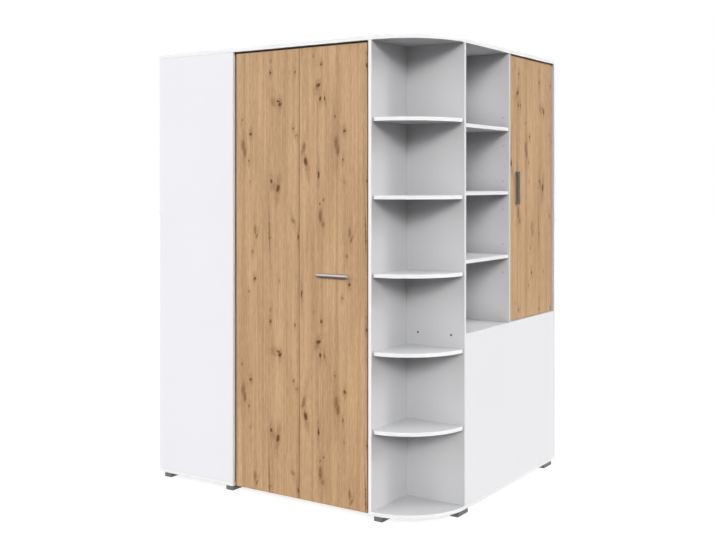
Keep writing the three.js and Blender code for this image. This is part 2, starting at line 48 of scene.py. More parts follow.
# in the settings a noise is its cells to the metre, its detail and its roughness, a relief is a bump's
# strength and its depth, and a span is where a value starts to count and where it counts in full
noiseSpan = (0.3, 0.7)  # most of a noise lies between these
wideSpan = (0.25, 0.75)
fullSpan = (0.2, 0.8)
facing = (0.5, 0.7)  # how far a face looks along an axis


# --- small helpers for materials and meshes

def wire(tree, kind, inputs, **settings):
    # a node with its settings, its values and its links; gives back its outputs
    node = tree.nodes.new(kind)
    for name, value in settings.items():
        setattr(node, name, value)
    for key, value in inputs.items():
        if isinstance(value, bpy.types.NodeSocket):
            tree.links.new(value, node.inputs[key])
        else:
            node.inputs[key].default_value = value
    return node.outputs


def calc(tree, operation, *values):
    return wire(tree, "ShaderNodeMath", dict(enumerate(values)), operation=operation)[0]


def vectorCalc(tree, operation, *values):
    result = wire(tree, "ShaderNodeVectorMath", dict(enumerate(values)), operation=operation)
    return result[1] if operation in ("LENGTH", "DOT_PRODUCT") else result[0]


def ramp(tree, value, low, high, toLow=0.0, toHigh=1.0):
    # a soft step from one value to another
    inputs = {0: value, 1: low, 2: high, 3: toLow, 4: toHigh}
    return wire(tree, "ShaderNodeMapRange", inputs, interpolation_type="SMOOTHSTEP")[0]


def blendColors(tree, factor, first, second, how="MIX"):
    inputs = {0: factor, 6: first, 7: second}
    return wire(tree, "ShaderNodeMix", inputs, data_type="RGBA", blend_type=how)[2]


def grey(tree, value):
    return wire(tree, "ShaderNodeCombineXYZ", {0: value, 1: value, 2: value})[0]


def noise(tree, vector, scale, detail, roughness=0.5):
    inputs = {"Vector": vector, "Scale": scale, "Detail": detail, "Roughness": roughness}
    return wire(tree, "ShaderNodeTexNoise", inputs)[0]


def objectPlace(tree, scale=(1, 1, 1)):
    place = wire(tree, "ShaderNodeTexCoord", {})["Object"]
    return wire(tree, "ShaderNodeMapping", {"Vector": place, "Scale": scale})[0]


def bump(tree, height, strength, distance):
    return wire(tree, "ShaderNodeBump", {"Height": height, "Strength": strength, "Distance": distance})[0]


def newMaterial(name, **values):
    # values the same all over go straight on the shader's sockets
    material = bpy.data.materials.new(name)
    material.use_nodes = True
    shader = material.node_tree.nodes["Principled BSDF"]
    for socket, value in values.items():
        shader.inputs[socket.replace("_", " ")].default_value = value
    return material, material.node_tree, shader


def connect(tree, shader, **outputs):
    for socket, output in outputs.items():
        tree.links.new(output, shader.inputs[socket.replace("_", " ")])


def seenDirectly(tree):
    # 1 for what the camera sees, also in a reflection, and 0 for light that only falls on something
    rays = wire(tree, "ShaderNodeLightPath", {})
    mirrored = calc(tree, "MAXIMUM", rays["Is Glossy Ray"], rays["Is Transmission Ray"])
    return calc(tree, "MAXIMUM", rays["Is Camera Ray"], mirrored)


def dimmed(color, share):
    return tuple(share * c for c in color[:3]) + (1,)


def paint(obj, material):
    obj.data.materials.clear()
    obj.data.materials.append(material)


# --- white melamine: a pearl-like skin on the faces, brighter bands on the edges, painted shade and light on the inner faces

melamine = {
    "outside": (0.929, 0.923, 0.962, 1),
    # the same white greyed for the inner faces: painted shade
    "inside": (0.645, 0.645, 0.655, 1),
    "edge": (0.965, 0.965, 0.97, 1),
    # the chipboard that the holes show, darkened to near black: painted shade in the holes
    "chipboard": (0.045, 0.030, 0.018, 1),
    "specular": 0.4,
    "roughness": (0.36, 0.50),
    "pearl": (900, 3, 0.6),
    "cloud": (2.5, 2),
    "cloudTone": 0.988,
    "relief": (0.12, 0.00012),
    "edgeReach": 0.002,  # of the edge band, in from a board's border
    "skin": 0.0004,  # of the white face over the chipboard
}
# painted shade that darkens the inner corners, as shares of the white, and painted light that makes the
# boards' upper faces paler, darkened next to the walls by painted shade
innerLook = {
    "cornerShadeReach": 0.22,
    "cornerShadeSamples": 6,
    "cornerShadeRange": (0.0, 1.0),
    "wallCornerShade": 0.67,
    "topLight": 1.34,
    "topCornerShade": 0.68,
    "topCornerShadeRange": (0.15, 1.0),
}
# boards with a look of their own: the sign of the face that shows outside, then what differs, which is
# painted shade and light: darker corners and gaps, paler upper faces, a darker lower front panel and
# darker edges
boardLooks = {
    # painted shade: the post turns near black where it is closed in, for the gap beside the folding door
    "hinge_post": (0, {"wallCornerShade": 0.04, "cornerShadeRange": (0.02, 0.45)}),
    "left_front_panel": (-1, {}),
    # painted shade: the lower front panel's outer face is a darker copy of the outside white
    "lower_front_panel": (1, {"outside": (0.906, 0.903, 0.924, 1)}),
    "end_panel": (1, {}),
    "left_rear_panel": (1, {}),
    "top_board_left": (1, {}),
    "top_board_right": (1, {}),
    # paler upper faces, painted light, with their painted shade near the walls; lighter painted corner
    # shade on the niche's left panel
    "bottom_board_right": (0, {"topLight": 1.28}),
    "fixed_shelf": (0, {"topLight": 1.50, "topCornerShade": 0.80}),
    "open_shelf_1": (0, {"topLight": 1.50, "topCornerShade": 0.86}),
    "open_shelf_2": (0, {"topLight": 1.50, "topCornerShade": 0.86}),
    "open_shelf_3": (0, {"topLight": 1.50, "topCornerShade": 0.86}),
    "niche_left_panel": (0, {"wallCornerShade": 0.76}),
    # painted shade: darker edges on the niche's right panel and the divider, and deeper painted corner
    # shade on the divider
    "niche_right_panel": (0, {"edge": (0.876, 0.872, 0.880, 1)}),
    "compartment_divider": (0, {
        "wallCornerShade": 0.22, "cornerShadeRange": (0.1, 0.85), "edge": (0.680, 0.655, 0.640, 1),
    }),
}
drilledBoards = ("niche_right_panel", "compartment_divider")


def nearestBorder(tree, parts, low, high, axes):
    # distance to the nearest of a board's borders along the given axes
    nearest = 1.0
    for axis in axes:
        fromLow = calc(tree, "SUBTRACT", parts[axis], low[axis])
        fromHigh = calc(tree, "SUBTRACT", high[axis], parts[axis])
        nearest = calc(tree, "MINIMUM", nearest, calc(tree, "MINIMUM", fromLow, fromHigh))
    return nearest


def whiteMelamine(label, axis, outwards=0, drilled=None, changes=()):
    # axis is the board's thin one, outwards is the sign of its face that shows on the outside, and
    # drilled is the box of a board with holes, which show chipboard darkened to near black as painted
    # shade
    look = {**melamine, **innerLook, **dict(changes)}
    material, tree, shader = newMaterial("white melamine " + label, Specular_IOR_Level=look["specular"])
    place = objectPlace(tree)
    pearl = noise(tree, place, *look["pearl"])
    cloud = noise(tree, place, *look["cloud"])
    normal = wire(tree, "ShaderNodeTexCoord", {})["Normal"]
    across = [0.0, 0.0, 0.0]
    across[axis] = 1.0
    along = vectorCalc(tree, "DOT_PRODUCT", normal, across)
    isEdge = ramp(tree, calc(tree, "ABSOLUTE", along), *facing, 1.0, 0.0)
    isOutside = ramp(tree, calc(tree, "MULTIPLY", along, outwards), *facing)
    # painted shade: the white darkens where ambient occlusion finds the inner corners closed in
    reach = {"Distance": look["cornerShadeReach"]}
    clear = wire(tree, "ShaderNodeAmbientOcclusion", reach, samples=look["cornerShadeSamples"])["AO"]
    paintedShading = ramp(tree, clear, *look["cornerShadeRange"], look["wallCornerShade"], 1.0)
    # painted light: faces that look up are made paler, and painted shade darkens them near the walls
    if axis == 2:
        top = look["topLight"]
        topCornerShade = ramp(tree, clear, *look["topCornerShadeRange"], top * look["topCornerShade"], top)
        paintedShading = wire(tree, "ShaderNodeMix", {0: ramp(tree, along, *facing), 2: paintedShading, 3: topCornerShade})[0]
    # inner faces: the grey of painted shade times the painted corner shade and upper-face light; outer
    # faces and edges take their own colours
    color = blendColors(tree, 1.0, look["inside"], grey(tree, paintedShading), "MULTIPLY")
    color = blendColors(tree, isOutside, color, look["outside"])
    color = blendColors(tree, isEdge, color, look["edge"])
    # painted shade: the holes' walls and bottoms take the near-black chipboard
    if drilled:
        parts = wire(tree, "ShaderNodeSeparateXYZ", {0: place})
        wide = [i for i in range(3) if i != axis]
        nearest = nearestBorder(tree, parts, *drilled, wide)
        depth = nearestBorder(tree, parts, *drilled, [axis])
        isCut = calc(tree, "MAXIMUM", isEdge, calc(tree, "GREATER_THAN", depth, look["skin"]))
        isHole = calc(tree, "MULTIPLY", isCut, calc(tree, "GREATER_THAN", nearest, look["edgeReach"]))
        color = blendColors(tree, isHole, color, look["chipboard"])
    tone = grey(tree, ramp(tree, cloud, *noiseSpan, look["cloudTone"], 1.0))
    color = blendColors(tree, 1.0, color, tone, "MULTIPLY")
    rough = ramp(tree, pearl, *wideSpan, *look["roughness"])
    connect(tree, shader, Base_Color=color, Roughness=rough, Normal=bump(tree, pearl, *look["relief"]))
    return material


# --- knotty oak: a printed decor that repeats, with its knots listed once

oak = {
    "light": (0.739, 0.482, 0.270, 1),
    "dark": (0.392, 0.225, 0.108, 1),
    "knot": (0.122, 0.047, 0.010, 1),
    "halo": (0.247, 0.119, 0.048, 1),
    "specular": 0.35,
    "roughness": (0.64, 0.52),
    "relief": (0.25, 0.00015),
    "lineRelief": 0.4,
    "repeatAcross": (0.470, 0.975),
    "repeatAlong": (1.000, 2.090),
    "foldOffset": 0.7380625,  # from the middle of the frame to where the print starts
    "sideOffset": 0.7049375,
    "frayAcross": ((1, 1, 0.35), 230, 0.014),  # stretch, cells to the metre and reach in metres
    "frayAlong": ((1, 1, 1), 170, 0.022),
    "frayNoise": (3, 0.65),
    "grainNoise": 0.55,
    "bandBorders": (1.6, 0.3),  # of a dark band, in its half widths
    "bandSpan": (0.25, 0.6),
    "pores": (1500, 0.018, 1),  # as the layers of the grain
    "poreSpan": (0.60, 0.72),
    "poreShade": 0.45,
    "blotchStretch": (1, 1, 0.3),
    "blotch": (330, 3, 0.6),
    "knotSwell": 1.15,
    "knotSpan": (0.31, 0.85),
    "stain": 0.60,  # how strongly a knot tints its surroundings
    "stainSpan": (0.32, 0.54),
    "smear": 0.62,
    "smearSpan": (0.3, 0.6, 0.95, 1.6),  # then how strong at either end
    # painted shade: dark lines along the folding door's edges, for the gaps beside the leaves
    "gapShadeLines": (0.0055, 0.0013, 0.0060),  # dark lines on the folding door's edges, left to right
}
# layers of the grain: cells to the metre, stretch along it, detail, then the share of the tone
grainLayers = {
    "sway": (9, 0.18, 2, 0.14),
    "bands": (26, 0.06, 3, 0.20),
    "fine": (150, 0.012, 3, 0.23),
    "lines": (520, 0.006, 2, 0.16),
    "flecks": (240, 0.10, 3, 0.27),
}
# middle and half width of the print's broad dark bands, mm, then how dark
darkBands = [
    (506, 9, 0.20), (614, 5, 0.16), (660, 11, 0.14), (738, 15, 0.12), (805, 7, 0.18), (910, 6, 0.18),
]
# across, along, half width, half height in the repeat, mm, then how dark and how far it leans
knots = [
    (655, 1864, 6, 9, 0.75, 0), (790, 1858, 5, 7, 0.55, 0), (699, 1735, 10, 6, 0.75, 0.9),
    (708, 1721, 7, 9, 0.95, 0), (676, 1733, 19, 22, 0.22, 0.3), (656, 1915, 7, 10, 0.25, 0),
    (495, 1660, 6, 6, 0.45, 0), (544, 1598, 7, 7, 0.85, 0), (501, 1548, 12, 27, 0.42, 0),
    (508, 1518, 8, 25, 0.45, 0), (534, 1478, 5, 7, 0.60, 0), (781, 1615, 6, 7, 0.50, 0),
    (798, 1583, 7, 6, 0.40, 0), (660, 1388, 7, 10, 0.75, 0), (697, 1357, 9, 17, 0.95, -0.15),
    (676, 1366, 15, 20, 0.20, 0.3), (569, 1172, 8, 24, 0.38, 0), (577, 1145, 5, 14, 0.45, -0.4),
    (780, 1217, 10, 12, 0.33, 0.3), (807, 1147, 5, 13, 0.60, 0), (655, 1140, 6, 5, 0.30, 0),
    (567, 2047, 7, 7, 0.85, 0), (532, 1988, 6, 7, 0.35, 0), (704, 2043, 5, 10, 0.30, 0),
    (541, 1385, 5, 8, 0.25, 0), (556, 1075, 7, 9, 0.35, 0), (929, 1884, 6, 8, 0.70, 0),
    (914, 1795, 11, 9, 0.95, -0.4), (924, 1738, 6, 11, 0.80, 0), (946, 1739, 5, 10, 0.70, 0.2),
    (847, 1472, 9, 17, 0.95, 0.2), (837, 1530, 9, 28, 0.42, -0.2), (915, 1414, 5, 18, 0.80, 0),
    (941, 1308, 5, 5, 0.60, 0), (922, 1292, 4, 8, 0.55, 0), (925, 1240, 10, 32, 0.46, 0),
    (936, 1204, 10, 13, 0.36, 0), (826, 1995, 4, 18, 0.90, 0), (888, 1920, 4, 6, 0.30, 0),
    (649, 1170, 3, 90, 0.55, 0.03),
]


# spans in the knot's own size, how far the grain gives way, and how tall the stain is
knotShape = {"core": (1.25, 0.35), "bend": (3.6, 0.8), "push": -0.55, "stain": (2.2, 0.5), "tall": 2.6}


def makeKnotGroup():
    # one knot: darkens its middle, tints its surroundings and bends the grain around it
    group = bpy.data.node_groups.new("knot", "ShaderNodeTree")
    sockets = [("Tile", "NodeSocketVector"), ("Core", "NodeSocketFloat"), ("Halo", "NodeSocketFloat")]
    for name, kind in sockets:
        group.interface.new_socket(name, in_out="INPUT", socket_type=kind)
        group.interface.new_socket(name, in_out="OUTPUT", socket_type=kind)
    for name in ("Place", "Size"):
        group.interface.new_socket(name, in_out="INPUT", socket_type="NodeSocketVector")
    for name in ("Dark", "Lean"):
        group.interface.new_socket(name, in_out="INPUT", socket_type="NodeSocketFloat")
    given = wire(group, "NodeGroupInput", {})
    off = vectorCalc(group, "SUBTRACT", given["Tile"], given["Place"])
    parts = wire(group, "ShaderNodeSeparateXYZ", {0: off})
    lean = calc(group, "MULTIPLY", parts[2], given["Lean"])
    across = calc(group, "ADD", parts[0], lean)
    leaning = wire(group, "ShaderNodeCombineXYZ", {0: across, 2: parts[2]})[0]
    away = vectorCalc(group, "LENGTH", vectorCalc(group, "DIVIDE", leaning, given["Size"]))
    core = calc(group, "MULTIPLY", ramp(group, away, *knotShape["core"]), given["Dark"])
    near = calc(group, "MULTIPLY", ramp(group, away, *knotShape["bend"]), given["Dark"])
    push = calc(group, "MULTIPLY", calc(group, "MULTIPLY", near, across), knotShape["push"])
    shift = wire(group, "ShaderNodeCombineXYZ", {0: push})[0]
    tall = vectorCalc(group, "MULTIPLY", given["Size"], (1, 1, knotShape["tall"]))
    stained = vectorCalc(group, "LENGTH", vectorCalc(group, "DIVIDE", leaning, tall))
    stain = calc(group, "MULTIPLY", ramp(group, stained, *knotShape["stain"]), given["Dark"])
    wire(group, "NodeGroupOutput", {
        "Tile": vectorCalc(group, "ADD", given["Tile"], shift),
        "Core": calc(group, "MAXIMUM", given["Core"], core),
        "Halo": calc(group, "MAXIMUM", given["Halo"], stain),
    })
    return group


knotGroup = makeKnotGroup()


def raggedness(tree, stretch, scale, reach):
    # a shift that frays the knots' outlines
    frayed = noise(tree, objectPlace(tree, stretch), scale, *oak["frayNoise"])
    return calc(tree, "MULTIPLY", calc(tree, "SUBTRACT", frayed, 0.5), reach)


def knottyOak(name, across, offset, shadedBorders):
    # across is the axis that runs across the grain, offset brings it to the print's repeat, and the last
    # argument lists where dark lines of painted shade, for the gaps beside the leaves, lie along the
    # edges across the grain, each with its reach
    material, tree, shader = newMaterial(name, Specular_IOR_Level=oak["specular"])
    place = wire(tree, "ShaderNodeSeparateXYZ", {0: objectPlace(tree)})
    side = calc(tree, "ADD", place[across], offset)
    tileAcross = calc(tree, "WRAP", side, oak["repeatAcross"][1], oak["repeatAcross"][0])
    tileAlong = calc(tree, "WRAP", place[2], oak["repeatAlong"][1], oak["repeatAlong"][0])
    frays = {0: raggedness(tree, *oak["frayAcross"]), 2: raggedness(tree, *oak["frayAlong"])}
    ragged = wire(tree, "ShaderNodeCombineXYZ", frays)[0]
    tile = wire(tree, "ShaderNodeCombineXYZ", {0: tileAcross, 2: tileAlong})[0]
    tile = vectorCalc(tree, "ADD", tile, ragged)
    grain = wire(tree, "ShaderNodeCombineXYZ", {0: side, 1: place[1 - across], 2: place[2]})[0]
    bent, core, halo = tile, 0.0, 0.0
    for x, z, halfWidth, halfHeight, dark, leanBy in knots:
        swell = oak["knotSwell"] * mm
        sizes = {"Place": (x * mm, 0, z * mm), "Size": (halfWidth * swell, 1, halfHeight * swell)}
        inputs = {"Tile": bent, "Core": core, "Halo": halo, "Dark": dark, "Lean": leanBy, **sizes}
        knot = wire(tree, "ShaderNodeGroup", inputs, node_tree=knotGroup)
        bent, core, halo = knot["Tile"], knot["Core"], knot["Halo"]
    grain = vectorCalc(tree, "ADD", grain, vectorCalc(tree, "SUBTRACT", bent, tile))

    def streaks(scale, along, detail):
        stretched = wire(tree, "ShaderNodeMapping", {"Vector": grain, "Scale": (1, 1, along)})[0]
        return noise(tree, stretched, scale, detail, oak["grainNoise"])

    layers = {layer: streaks(*look[:-1]) for layer, look in grainLayers.items()}
    pores = streaks(*oak["pores"])
    tone = 0.0
    for layer, look in grainLayers.items():
        part = calc(tree, "MULTIPLY", ramp(tree, layers[layer], *noiseSpan), look[-1])
        tone = calc(tree, "ADD", tone, part)
    grainAcross = wire(tree, "ShaderNodeSeparateXYZ", {0: bent})[0]
    for middle, halfWidth, dark in darkBands:
        away = calc(tree, "ABSOLUTE", calc(tree, "SUBTRACT", grainAcross, middle * mm))
        outer, inner = (share * halfWidth * mm for share in oak["bandBorders"])
        band = ramp(tree, away, outer, inner, 0.0, dark)
        broken = calc(tree, "MULTIPLY", band, ramp(tree, layers["sway"], *oak["bandSpan"]))
        tone = calc(tree, "SUBTRACT", tone, broken)
    color = blendColors(tree, tone, oak["dark"], oak["light"])
    pore = ramp(tree, pores, *oak["poreSpan"])
    color = blendColors(tree, calc(tree, "MULTIPLY", pore, oak["poreShade"]), color, oak["dark"])
    blotch = noise(tree, objectPlace(tree, oak["blotchStretch"]), *oak["blotch"])
    tint = calc(tree, "MINIMUM", calc(tree, "MULTIPLY", halo, oak["stain"]), 1.0)
    stain = calc(tree, "MULTIPLY", tint, ramp(tree, blotch, *oak["stainSpan"]))
    deep = calc(tree, "POWER", core, oak["smear"])
    smear = calc(tree, "MULTIPLY", deep, ramp(tree, blotch, *oak["smearSpan"]))
    stain = calc(tree, "MINIMUM", calc(tree, "MAXIMUM", stain, smear), 1.0)
    color = blendColors(tree, stain, color, oak["halo"])
    color = blendColors(tree, ramp(tree, core, *oak["knotSpan"]), color, oak["knot"])
    # painted shade: a dark line along each listed border, for the gap beside it
    for border, reach in shadedBorders:
        away = calc(tree, "ABSOLUTE", calc(tree, "SUBTRACT", place[across], border))
        color = blendColors(tree, calc(tree, "LESS_THAN", away, reach), color, oak["knot"])
    rough = ramp(tree, layers["fine"], *fullSpan, *oak["roughness"])
    raised = calc(tree, "MULTIPLY", layers["lines"], oak["lineRelief"])
    height = calc(tree, "SUBTRACT", raised, calc(tree, "ADD", pore, core))
    connect(tree, shader, Base_Color=color, Roughness=rough, Normal=bump(tree, height, *oak["relief"]))
    return material


# --- fibreboard backs: white lacquer towards the rooms inside, bare brown board outside

backs = {
    "white": (0.84, 0.84, 0.85, 1),
    "brown": (0.250, 0.150, 0.082, 1),
    "brownLight": (0.330, 0.205, 0.115, 1),
    "specular": 0.3,
    "roughness": (0.55, 0.72),
    "fibres": (420, 4, 0.7),
    "mottle": (14, 3),
    "fibreShare": 0.6,
    "mottleShare": 0.4,
    "speckleSpan": (0.35, 0.65),
    "relief": (0.2, 0.0002),
    "lacquerDepth": 0.0008,
    "nail": (0.420, 0.420, 0.430, 1),
    "nailRelief": 2.0,  # over the fibres
    "nailInset": 0.005,
    "nailPitch": 0.110,
    "nailRadius": 0.0017,
}


def nailHeads(tree, parts, low, high, axes):
    # a row of nail heads along each border of the sheet
    heads = 0.0
    for axis, along in (axes, axes[::-1]):
        off = calc(tree, "ABSOLUTE", calc(tree, "SUBTRACT", parts[axis], (low[axis] + high[axis]) / 2))
        aside = calc(tree, "SUBTRACT", off, (high[axis] - low[axis]) / 2 - backs["nailInset"])
        run = calc(tree, "SUBTRACT", parts[along], (low[along] + high[along]) / 2)
        step = calc(tree, "PINGPONG", run, backs["nailPitch"] / 2)
        away = vectorCalc(tree, "LENGTH", wire(tree, "ShaderNodeCombineXYZ", {0: aside, 1: step})[0])
        head = calc(tree, "LESS_THAN", away, backs["nailRadius"])
        heads = calc(tree, "MAXIMUM", heads, head)
    return heads


def fibreboard(name, axis, low, high, whiteAbove):
    # a thin sheet with the given box, lacquered white on the side that faces the rooms
    level = (low[axis] + high[axis]) / 2
    material, tree, shader = newMaterial(name, Specular_IOR_Level=backs["specular"])
    place = objectPlace(tree)
    fibres = noise(tree, place, *backs["fibres"])
    mottle = noise(tree, place, *backs["mottle"])
    mixed = calc(tree, "ADD", calc(tree, "MULTIPLY", fibres, backs["fibreShare"]),
                 calc(tree, "MULTIPLY", mottle, backs["mottleShare"]))
    speckle = ramp(tree, mixed, *backs["speckleSpan"])
    brown = blendColors(tree, speckle, backs["brown"], backs["brownLight"])
    parts = wire(tree, "ShaderNodeSeparateXYZ", {0: place})
    depth = calc(tree, "SUBTRACT", parts[axis], level)
    side = 1 if whiteAbove else -1
    inside = calc(tree, "GREATER_THAN", calc(tree, "MULTIPLY", depth, side), backs["lacquerDepth"])
    heads = nailHeads(tree, parts, low, high, [i for i in range(3) if i != axis])
    color = blendColors(tree, heads, brown, backs["nail"])
    color = blendColors(tree, inside, color, backs["white"])
    rough = ramp(tree, fibres, *fullSpan, *backs["roughness"])
    height = calc(tree, "ADD", fibres, calc(tree, "MULTIPLY", heads, backs["nailRelief"]))
    connect(tree, shader, Base_Color=color, Roughness=rough, Normal=bump(tree, height, *backs["relief"]))
    return material


# --- metals and plastics

brushedLook = {
    "stretch": 0.02,  # of the lines, along the brushing
    "lines": (2600, 2, 0.6),
    "dim": 0.82,
    "patches": (60, 2),
    "patchRoughness": (-0.03, 0.03),
    "relief": (0.08, 0.00005),
}


def brushedMetal(name, color, roughness, along, scratch):
    # fine lines that run along one axis, with slow patches of roughness
    stretch = [1.0, 1.0, 1.0]
    stretch[along] = brushedLook["stretch"]
    material, tree, shader = newMaterial(name, Metallic=1.0)
    lines = noise(tree, objectPlace(tree, stretch), *brushedLook["lines"])
    patches = noise(tree, objectPlace(tree), *brushedLook["patches"])
    tint = blendColors(tree, ramp(tree, lines, *noiseSpan), dimmed(color, brushedLook["dim"]), color)
    rough = calc(tree, "ADD", ramp(tree, lines, *wideSpan, roughness - scratch, roughness + scratch),
                 ramp(tree, patches, *noiseSpan, *brushedLook["patchRoughness"]))
    normal = bump(tree, lines, *brushedLook["relief"])
    connect(tree, shader, Base_Color=tint, Roughness=rough, Normal=normal)
    return material


handleLook = {
    "brushed": (0.650, 0.560, 0.545, 1),
    # painted shade: the dark satin of the sides, the groove and the strip along the front
    "shadedSatin": (0.150, 0.149, 0.138, 1),
    "end": (0.560, 0.490, 0.440, 1),
    "dim": 0.84,
    "roughness": (0.16, 0.28),
    "satinRoughness": (0.45, 0.58),
    "spark": (1500, 2, 0.6),
    "sparkRelief": 0.4,
    "relief": (0.08, 0.00005),
    "facing": (0.5, 0.8),
    # painted shade: a dark strip along the front for a shaded channel
    "channelShade": (0.0008, 0.0062),  # of the dark strip along the front, over the groove's side
}


def handleFinish(name, along, front, outward, across, edge):
    # brushed on the front; dark satin, painted shade, on a strip along the front that stands in for a
    # shaded channel, on the sides and in the finger groove; paler at the ends; along is the long axis,
    # the front faces the front axis by the sign outward, and edge is where the groove's side begins on
    # the axis across
    look = handleLook
    stretch = [1.0, 1.0, 1.0]
    stretch[along] = brushedLook["stretch"]
    material, tree, shader = newMaterial(name)
    lines = noise(tree, objectPlace(tree, stretch), *brushedLook["lines"])
    spark = noise(tree, objectPlace(tree), *look["spark"])
    normal = wire(tree, "ShaderNodeSeparateXYZ", {0: wire(tree, "ShaderNodeTexCoord", {})["Normal"]})
    parts = wire(tree, "ShaderNodeSeparateXYZ", {0: objectPlace(tree)})
    atFront = ramp(tree, calc(tree, "MULTIPLY", normal[front], outward), *look["facing"])
    up = calc(tree, "SUBTRACT", parts[across], edge)
    low, high = look["channelShade"]
    strip = calc(tree, "MULTIPLY", calc(tree, "GREATER_THAN", up, low), calc(tree, "LESS_THAN", up, high))
    bare = calc(tree, "MULTIPLY", atFront, calc(tree, "SUBTRACT", 1.0, strip))
    brushed = look["brushed"]
    shine = blendColors(tree, ramp(tree, lines, *noiseSpan), dimmed(brushed, look["dim"]), brushed)
    color = blendColors(tree, bare, look["shadedSatin"], shine)
    atEnd = ramp(tree, calc(tree, "ABSOLUTE", normal[along]), *look["facing"])
    color = blendColors(tree, atEnd, color, look["end"])
    bright = ramp(tree, lines, *wideSpan, *look["roughness"])
    shadedSatin = ramp(tree, spark, *noiseSpan, *look["satinRoughness"])
    rough = wire(tree, "ShaderNodeMix", {0: bare, 2: shadedSatin, 3: bright})[0]
    marks = calc(tree, "MULTIPLY", lines, bare)
    height = calc(tree, "ADD", marks, calc(tree, "MULTIPLY", spark, look["sparkRelief"]))
    relief = bump(tree, height, *look["relief"])
    connect(tree, shader, Base_Color=color, Metallic=bare, Roughness=rough, Normal=relief)
    return material


steelLook = {
    "blotch": (220, 3, 0.6),
    "dim": 0.86,
    "blotchRoughness": 0.05,
    "marksStretch": (1, 1, 0.1),
    "marks": (1800, 2),
    "marksRoughness": (-0.02, 0.03),
    "relief": (0.06, 0.00005),
}


def sheetSteel(name, color, roughness):
    # plated or blackened: smooth, with faint rolling marks and soft blotches
    look = steelLook
    material, tree, shader = newMaterial(name, Metallic=1.0)
    blotch = noise(tree, objectPlace(tree), *look["blotch"])
    marks = noise(tree, objectPlace(tree, look["marksStretch"]), *look["marks"])
    tint = blendColors(tree, ramp(tree, blotch, *noiseSpan), dimmed(color, look["dim"]), color)
    swing = look["blotchRoughness"]
    rough = calc(tree, "ADD", ramp(tree, blotch, *noiseSpan, roughness - swing, roughness + swing),
                 ramp(tree, marks, *noiseSpan, *look["marksRoughness"]))
    connect(tree, shader, Base_Color=tint, Roughness=rough, Normal=bump(tree, marks, *look["relief"]))
    return material


plasticLook = {
    "specular": 0.4,
    "spark": (1400, 2, 0.6),
    "sparkRoughness": (-0.06, 0.08),
    "cloud": (30, 2),
    "dim": 0.88,
    "relief": (0.25, 0.0001),
}


def mouldedPlastic(name, color, roughness):
    # fine spark texture and a slow change of tone
    look = plasticLook
    material, tree, shader = newMaterial(name, Specular_IOR_Level=look["specular"])
    spark = noise(tree, objectPlace(tree), *look["spark"])
    cloud = noise(tree, objectPlace(tree), *look["cloud"])
    tint = blendColors(tree, ramp(tree, cloud, *noiseSpan), dimmed(color, look["dim"]), color)
    down, up = look["sparkRoughness"]
    rough = ramp(tree, spark, *noiseSpan, roughness + down, roughness + up)
    connect(tree, shader, Base_Color=tint, Roughness=rough, Normal=bump(tree, spark, *look["relief"]))
    return material


# --- finishes of the CAD nodes

def thinAxis(node):
    low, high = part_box(node)
    size = high - low
    return min(range(3), key=lambda i: size[i])


def plainBox(node):
    return [tuple(float(v) for v in corner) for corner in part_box(node)]


insideWhites = [whiteMelamine("inside " + "xyz"[axis], axis) for axis in range(3)]
boardWhites = {}
for name, (outwards, changes) in boardLooks.items():
    drilled = plainBox(name) if name in drilledBoards else None
    label = name.replace("_", " ")
    boardWhites[name] = whiteMelamine(label, thinAxis(name), outwards, drilled, changes)
steel = sheetSteel("nickel plated steel", color=(0.62, 0.63, 0.64, 1), roughness=0.28)
blackSteel = sheetSteel("black phosphated steel", color=(0.085, 0.085, 0.09, 1), roughness=0.45)
railColor = (0.66, 0.67, 0.68, 1)
railSteel = brushedMetal("clothes rail", railColor, roughness=0.22, along=1, scratch=0.05)
frontEdge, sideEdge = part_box("fold_door_handle")[0].z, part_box("side_door_handle")[0].y
frontHandle = handleFinish("fold door handle", along=0, front=1, outward=-1, across=2, edge=frontEdge)
sideHandle = handleFinish("side door handle", along=2, front=0, outward=1, across=1, edge=sideEdge)
trackPlastic = mouldedPlastic("dark track plastic", color=(0.038, 0.030, 0.026, 1), roughness=0.5)
footPlastic = mouldedPlastic("grey foot plastic", color=(0.165, 0.165, 0.165, 1), roughness=0.55)
foldBorders = (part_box("left_leaf")[0].x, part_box("right_leaf")[0].x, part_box("right_leaf")[1].x)
foldGapShade = tuple(zip(foldBorders, oak["gapShadeLines"]))
foldOak = knottyOak("oak of the folding door", across=0, offset=oak["foldOffset"], shadedBorders=foldGapShade)
sideOak = knottyOak("oak of the side door", across=1, offset=oak["sideOffset"], shadedBorders=())

slotOf = {row["node"]: row["material_slot"] for row in frame["record"]["subparts"]}
slotFinishes = {"hinge_steel": steel, "dark_plastic": trackPlastic, "grey_plastic": footPlastic}
ownFinishes = {
    "clothes_rail": railSteel,
    "left_leaf": foldOak,
    "right_leaf": foldOak,
    "side_door": sideOak,
    "fold_door_handle": frontHandle,
    "side_door_handle": sideHandle,
}
for name, obj in nodes.items():
    if name in ownFinishes:
        paint(obj, ownFinishes[name])
    elif slotOf[name] in slotFinishes:
        paint(obj, slotFinishes[slotOf[name]])
    elif slotOf[name] == "white_melamine":
        paint(obj, boardWhites.get(name) or insideWhites[thinAxis(name)])
lacquerAbove = {"left_back_panel": True, "walkway_back_panel": False, "shelf_back_panel": True}
for name, whiteAbove in lacquerAbove.items():
    low, high = plainBox(name)
    paint(nodes[name], fibreboard(name.replace("_", " "), thinAxis(name), low, high, whiteAbove))
print("finishes done")


# --- small fasteners, each modelled once and copied to its places, mm

modelling = {
    "bevelProfile": 0.55,
    "cornerReach": 0.01,  # how near to its place a corner is looked for
    "smoothAngle": 35,
}


